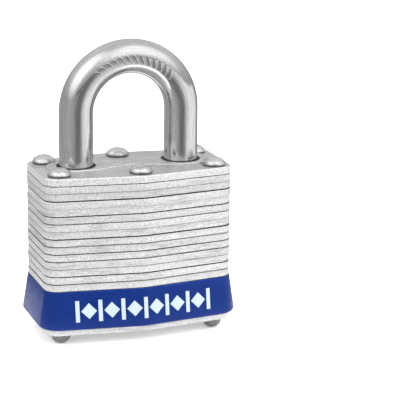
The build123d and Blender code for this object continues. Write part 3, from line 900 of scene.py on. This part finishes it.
@dataclass
class Bumper:
    """The blue vinyl skirt round the foot of the case, with its inlaid pale pattern."""

    end_x: float = 20.0
    end_y: float = 8.62
    middle_y: float = 11.10
    corner: float = 3.0
    bend: float = 8.0
    low: float = SKIRT_LOW
    high: float = SKIRT_HIGH
    flare: float = 1.35
    brim: float = 0.12
    fit: float = 0.02
    edge: float = 0.8
    lip_drop: float = 0.08
    lip_back: float = 0.04
    end_facing: float = 0.96

    def plan(self) -> bmesh.types.BMesh:
        """Draw the case's outline, with its corners and bends rounded.

        Returns:
            One flat face at the skirt's foot.
        """
        shape = bmesh.new()
        half = ((-self.end_x, -self.end_y), (0.0, -self.middle_y), (self.end_x, -self.end_y))
        points = [shape.verts.new((x, y, self.low)) for x, y in half]
        points += [shape.verts.new((-x, -y, self.low)) for x, y in half]
        shape.faces.new(points)
        slope = math.atan2(self.middle_y - self.end_y, self.end_x)
        corner_cut = self.corner * math.tan((math.pi / 2 - slope) / 2)
        bend_cut = self.bend * math.tan(slope)
        corners = [v for v in points if abs(v.co.x) > 1.0]
        round_off(shape, corners, corner_cut, 6, "VERTICES")
        bends = [v for v in shape.verts if abs(v.co.x) < 0.01]
        round_off(shape, bends, bend_cut, 4, "VERTICES")
        return shape

    def section(self) -> list[tuple[float, float]]:
        """Draw the skirt's section.

        Returns:
            Distance out from the case and height of each point, round from its inner foot.
        """
        fall = (self.flare - self.brim) / (self.high - self.low)
        shoulder = self.flare - fall * self.edge
        line = [(self.fit, self.low)]
        for step in range(7):
            angle = step * math.pi / 12
            line.append((shoulder - self.edge * (1 - math.sin(angle)), self.low + self.edge * (1 - math.cos(angle))))
        for share in (0.25, 0.5, 0.75, 0.97):
            height = self.low + self.edge + (self.high - self.low - self.edge) * share
            line.append((self.flare - fall * (height - self.low), height))
        line += [(self.brim, self.high - self.lip_drop), (self.brim - self.lip_back, self.high), (self.fit, self.high)]
        return line + [(self.fit, self.low)]

    def skirt(self) -> bmesh.types.BMesh:
        """Sweep the section round the case's outline.

        Returns:
            The closed skirt.
        """
        shape = self.plan()
        face = shape.faces[:][0]
        ring = [loop.vert for loop in face.loops]
        spots = [v.co.copy() for v in ring]
        outs = []
        for before, here, after in zip([spots[-1]] + spots[:-1], spots, spots[1:] + [spots[0]]):
            first = Vector((here.y - before.y, before.x - here.x, 0)).normalized()
            second = Vector((after.y - here.y, here.x - after.x, 0)).normalized()
            outs.append((first + second) / (1 + first.dot(second)))
        if outs[0].dot(spots[0]) < 0:
            outs = [-out for out in outs]
        bmesh.ops.delete(shape, geom=[face], context="FACES_ONLY")
        order = ring
        for number, (reach, height) in enumerate(self.section()):
            if number:
                edges = [shape.edges.get((u, v)) for u, v in zip(order, order[1:] + order[:1])]
                made = bmesh.ops.extrude_edge_only(shape, edges=edges)["geom"]
                fresh = [v for v in made if isinstance(v, bmesh.types.BMVert)]
                order = [next(v for e in u.link_edges for v in e.verts if v in fresh) for u in order]
            for vert, spot, out in zip(order, spots, outs):
                vert.co = Vector((spot.x, spot.y, height)) + out * reach
        return shape

    def build(self) -> None:
        """Model the skirt in place of the plain one, and finish it and its inlay."""
        skirt = finish_piece(self.skirt(), "bumper_skirt", VinylFinish().make("bumper_blue"), "case")
        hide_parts("bumper")
        self.crease(skirt.data)
        dress("bumper_mark", PrintFinish().make("mark_pale"))

    def crease(self, mesh: bpy.types.Mesh) -> None:
        """Make the upright edges of the flat ends crisp.

        Args:
            mesh: The skirt's mesh in metres.
        """
        shape = bmesh.new()
        shape.from_mesh(mesh)
        for edge in shape.edges:
            flat = sorted(abs(face.normal.x) > self.end_facing for face in edge.link_faces)
            upright = abs(edge.verts[0].co.z - edge.verts[1].co.z) > 0.0002
            edge.smooth = not (upright and flat == [False, True])
        shape.to_mesh(mesh)
        shape.free()


@dataclass
class LockWorks:
    """The plug, its shell, the pins and levers inside, seen from below and through the holes."""

    brass: MetalFinish = MetalFinish((0.80, 0.58, 0.25), (0.55, 0.37, 0.13), (0.22, 0.42), rings=9.0)
    zinc: MetalFinish = MetalFinish((0.46, 0.46, 0.47), (0.30, 0.30, 0.31), (0.42, 0.62), (1.2, 1.2, 1.2), 0.05)
    lever: MetalFinish = MetalFinish((0.42, 0.42, 0.43), (0.22, 0.21, 0.20), (0.30, 0.5), (4.0, 1.0, 1.0), 0.04)
    wire: MetalFinish = MetalFinish((0.50, 0.50, 0.51), (0.32, 0.32, 0.33), (0.25, 0.4))
    pins: int = 4

    def dress(self) -> None:
        """Finish every inner part."""
        groups = {
            "brass_turned": (self.brass, ["plug", "plug_retainer", "cam"]
                             + [f"{kind}_pin_{n}" for n in range(1, self.pins + 1) for kind in ("key", "driver")]),
            "zinc_cast": (self.zinc, ["cylinder_shell", "chamber_cover"]),
            "lever_oiled": (self.lever, ["locking_lever_right", "locking_lever_left"]),
            "wire_drawn": (self.wire, ["shackle_spring"] + [f"pin_spring_{n}" for n in range(1, self.pins + 1)]),
        }
        for name, (finish, nodes) in groups.items():
            material = finish.make(name)
            for node in nodes:
                dress(node, material)


@dataclass(frozen=True)
class Panel:
    """A soft light or a dark strip round the object: its place in degrees and millimetres, its size and its watts."""

    name: str
    turn: float
    rise: float
    away: float
    width: float
    height: float
    power: float = 0.0


@dataclass(frozen=True)
class Patch:
    """A bright patch of the room: its middle in degrees, the cosines where it ends and is full, and its strength."""

    turn: float
    rise: float
    edge: float
    core: float
    glow: float


def outward(turn: float, rise: float) -> Vector:
    """Point outwards from the object.

    Args:
        turn: Degrees round it from its front, to the right.
        rise: Degrees above the floor.

    Returns:
        The direction, one unit long.
    """
    a, e = math.radians(turn), math.radians(rise)
    return Vector((math.sin(a) * math.cos(e), -math.cos(a) * math.cos(e), math.sin(e)))


@dataclass
class Studio:
    """Floor, lights, reflection tent and the camera."""

    aim: tuple[float, float, float] = (0.0, 0.0, 25.0)
    turn: float = -20.395
    rise: float = 14.682
    roll: float = 0.748
    slide: tuple[float, float] = (-14.842, -2.372)
    away: float = 347.07
    lens: float = 150.054
    floor_size: float = 6.0  # metres
    floor_glow: float = 0.35
    backdrop: float = 1.05
    sky: float = 0.42
    sky_rise: float = 0.40
    patches: tuple[Patch, ...] = (Patch(34.0, 44.0, 0.72, 0.98, 0.75), Patch(-66.0, 42.0, 0.76, 0.98, 0.95))
    lights: tuple[Panel, ...] = (
        Panel("key", 38.0, 42.0, 600.0, 700.0, 600.0, 3.0),
        Panel("fill", -72.0, 35.0, 600.0, 420.0, 420.0, 0.75),
        Panel("top", 170.0, 66.0, 600.0, 700.0, 420.0, 1.3),
    )
    flag: Panel = Panel("flag", -16.0, 12.0, 300.0, 200.0, 15.0)
    tent_radius: float = 160.0
    tent_height: float = 62.0
    mat_radius: float = 48.0
    tent: tuple[tuple[float, float], ...] = (  # degrees round from the front to the right, and how bright
        (-180.0, 0.45), (-162.0, 0.50), (-135.0, 0.48), (-100.0, 0.52), (-60.0, 0.58), (-42.0, 0.52),
        (-26.0, 0.38), (-18.0, 0.25), (3.0, 0.24), (14.0, 0.46), (27.0, 0.95), (45.0, 1.25), (92.0, 1.25),
        (106.0, 0.55), (122.0, 0.32), (180.0, 0.45),
    )

    def facing(self, panel: Panel) -> Matrix:
        """Turn a panel to the object.

        Args:
            panel: The panel.

        Returns:
            Its place and turn.
        """
        out = outward(panel.turn, panel.rise)
        place = mm(*self.aim) + out * panel.away * MM
        return Matrix.Translation(place) @ out.to_track_quat("Z", "Y").to_matrix().to_4x4()

    def floor(self) -> None:
        """Lay a plain pale floor."""
        shape = bmesh.new()
        bmesh.ops.create_grid(shape, x_segments=1, y_segments=1, size=self.floor_size / 2)
        g = Graph("floor_paper")
        g.set(Base_Color=(0.93, 0.93, 0.93, 1.0), Roughness=0.9)
        g.set(Emission_Color=(1.0, 1.0, 1.0, 1.0), Emission_Strength=self.floor_glow)
        g.set(Specular_IOR_Level=0.0)
        floor = add_object(shape, "floor", g.material)

    def light(self) -> None:
        """Hang the soft lights."""
        self.sky_glow()
        for panel in self.lights:
            lamp = bpy.data.lights.new(panel.name, "AREA")
            lamp.shape = "RECTANGLE"
            lamp.size, lamp.size_y = panel.width * MM, panel.height * MM
            lamp.energy = panel.power
            holder = bpy.data.objects.new(panel.name, lamp)
            holder.matrix_world = self.facing(panel)
            holder.visible_glossy = False
            bpy.context.scene.collection.objects.link(holder)

    def sky_glow(self) -> None:
        """Make the room's soft light: dimmer at the horizon, with broad bright patches overhead."""
        world = bpy.data.worlds.new("soft_room")
        world.use_nodes = True
        bpy.context.scene.world = world
        tree = world.node_tree
        toward = tree.nodes.new("ShaderNodeTexCoord").outputs["Generated"]
        total = None
        for patch in (Patch(0.0, 90.0, -0.05, 0.60, self.sky_rise), *self.patches):
            dot = tree.nodes.new("ShaderNodeVectorMath")
            dot.operation = "DOT_PRODUCT"
            dot.inputs[1].default_value = outward(patch.turn, patch.rise)
            tree.links.new(toward, dot.inputs[0])
            spread = tree.nodes.new("ShaderNodeMapRange")
            spread.interpolation_type = "SMOOTHSTEP"
            for name, number in (("From Min", patch.edge), ("From Max", patch.core), ("To Max", patch.glow)):
                spread.inputs[name].default_value = number
            tree.links.new(dot.outputs["Value"], spread.inputs["Value"])
            joined = tree.nodes.new("ShaderNodeMath")
            joined.inputs[0].default_value = self.sky
            if total is not None:
                tree.links.new(total, joined.inputs[0])
            tree.links.new(spread.outputs["Result"], joined.inputs[1])
            total = joined.outputs["Value"]
        seen = tree.nodes.new("ShaderNodeMix")
        seen.inputs["B"].default_value = self.backdrop
        tree.links.new(tree.nodes.new("ShaderNodeLightPath").outputs["Is Camera Ray"], seen.inputs["Factor"])
        tree.links.new(total, seen.inputs["A"])
        background = tree.nodes["Background"]
        background.inputs["Color"].default_value = (1.0, 1.0, 1.0, 1.0)
        tree.links.new(seen.outputs["Result"], background.inputs["Strength"])

    def tent_glow(self) -> bpy.types.Material:
        """Make the tent's glow, whose strength changes round the object.

        Returns:
            The finished material.
        """
        g = Graph("tent_glow")
        turn = g.math("ARCTAN2", g.axis("X"), g.math("MULTIPLY", g.axis("Y"), -1.0))
        share = g.math("ADD", g.math("DIVIDE", turn, math.tau), 0.5)
        ramp = g.tree.nodes.new("ShaderNodeValToRGB")
        ramp.color_ramp.interpolation = "EASE"
        stops = ramp.color_ramp.elements
        while len(stops) > 1:
            stops.remove(stops[-1])
        for index, (angle, level) in enumerate(self.tent):
            stop = stops[0] if index == 0 else stops.new(angle / 360.0 + 0.5)
            stop.position = angle / 360.0 + 0.5
            stop.color = (level, level, level, 1.0)
        g.link(share, ramp.inputs["Fac"])
        glow = g.tree.nodes.new("ShaderNodeEmission")
        g.link(ramp.outputs["Color"], glow.inputs["Color"])
        output = next(n for n in g.tree.nodes if n.type == "OUTPUT_MATERIAL")
        g.link(glow.outputs["Emission"], output.inputs["Surface"])
        return g.material

    def pitch_tent(self) -> None:
        """Stand a low ring of soft greys round the object, which only shows in its polished parts."""
        shape = bmesh.new()
        ring = bmesh.ops.create_circle(shape, cap_ends=False, segments=96, radius=self.mat_radius)["verts"]
        bmesh.ops.translate(shape, vec=(0, 0, 0.4), verts=ring)
        edges = list(shape.edges)
        wide = bmesh.ops.extrude_edge_only(shape, edges=edges)["geom"]
        outer = [v for v in wide if isinstance(v, bmesh.types.BMVert)]
        grow = self.tent_radius / self.mat_radius
        bmesh.ops.scale(shape, vec=(grow, grow, 1.0), verts=outer)
        rim = [e for e in wide if isinstance(e, bmesh.types.BMEdge)]
        high = bmesh.ops.extrude_edge_only(shape, edges=rim)["geom"]
        top = [v for v in high if isinstance(v, bmesh.types.BMVert)]
        bmesh.ops.translate(shape, vec=(0, 0, self.tent_height), verts=top)
        bmesh.ops.scale(shape, vec=(MM, MM, MM), verts=shape.verts)
        tent = add_object(shape, "tent", self.tent_glow())
        self.only_reflected(tent)

    def raise_flag(self) -> None:
        """Hold up a narrow dark strip, which draws a fine dark line along the polished rod."""
        shape = bmesh.new()
        bmesh.ops.create_grid(shape, x_segments=1, y_segments=1, size=0.5 * MM)
        bmesh.ops.scale(shape, vec=(self.flag.width, self.flag.height, 1.0), verts=shape.verts)
        bmesh.ops.transform(shape, matrix=self.facing(self.flag), verts=shape.verts)
        g = Graph("flag_dark")
        g.set(Base_Color=(0.02, 0.02, 0.02, 1.0), Roughness=1.0)
        flag = add_object(shape, "flag", g.material)
        self.only_reflected(flag)

    def only_reflected(self, item: bpy.types.Object) -> None:
        """Hide a stage piece from everything but reflections."""
        item.visible_camera = item.visible_diffuse = item.visible_shadow = item.visible_transmission = False

    def shoot(self) -> None:
        """Set up the camera."""
        a, r = math.radians(self.turn), math.radians(self.roll)
        back = outward(self.turn, self.rise)
        level = Vector((math.cos(a), math.sin(a), 0.0))
        lift = back.cross(level)
        right = level * math.cos(r) + lift * math.sin(r)
        up = lift * math.cos(r) - level * math.sin(r)
        camera = bpy.data.cameras.new("camera")
        camera.lens, camera.sensor_width = self.lens, SENSOR_WIDTH
        camera.clip_start, camera.clip_end = CLIP_NEAR, CLIP_FAR
        holder = bpy.data.objects.new("camera", camera)
        place = mm(*self.aim) + (back * self.away - right * self.slide[0] - up * self.slide[1]) * MM
        turn = Matrix((right, up, back)).transposed().to_4x4()
        holder.matrix_world = Matrix.Translation(place) @ turn
        bpy.context.scene.collection.objects.link(holder)
        bpy.context.scene.camera = holder
        bpy.context.scene.view_settings.view_transform = "Standard"

    def build(self) -> None:
        """Set the whole scene round the object."""
        self.floor()
        self.light()
        self.pitch_tent()
        self.raise_flag()
        self.shoot()


def main() -> None:
    """Build and finish every part in order."""
    logging.basicConfig(level=logging.INFO, format="%(name)s: %(message)s")
    Studio().build()
    log.info("studio set")
    PlateStack().dress()
    log.info("plates finished")
    Rivets().build()
    log.info("rivets modelled")
    Shackle().build()
    log.info("shackle finished")
    Bumper().build()
    log.info("bumper finished")
    LockWorks().dress()
    log.info("lock works finished")


if __name__ == "__main__":
    main()
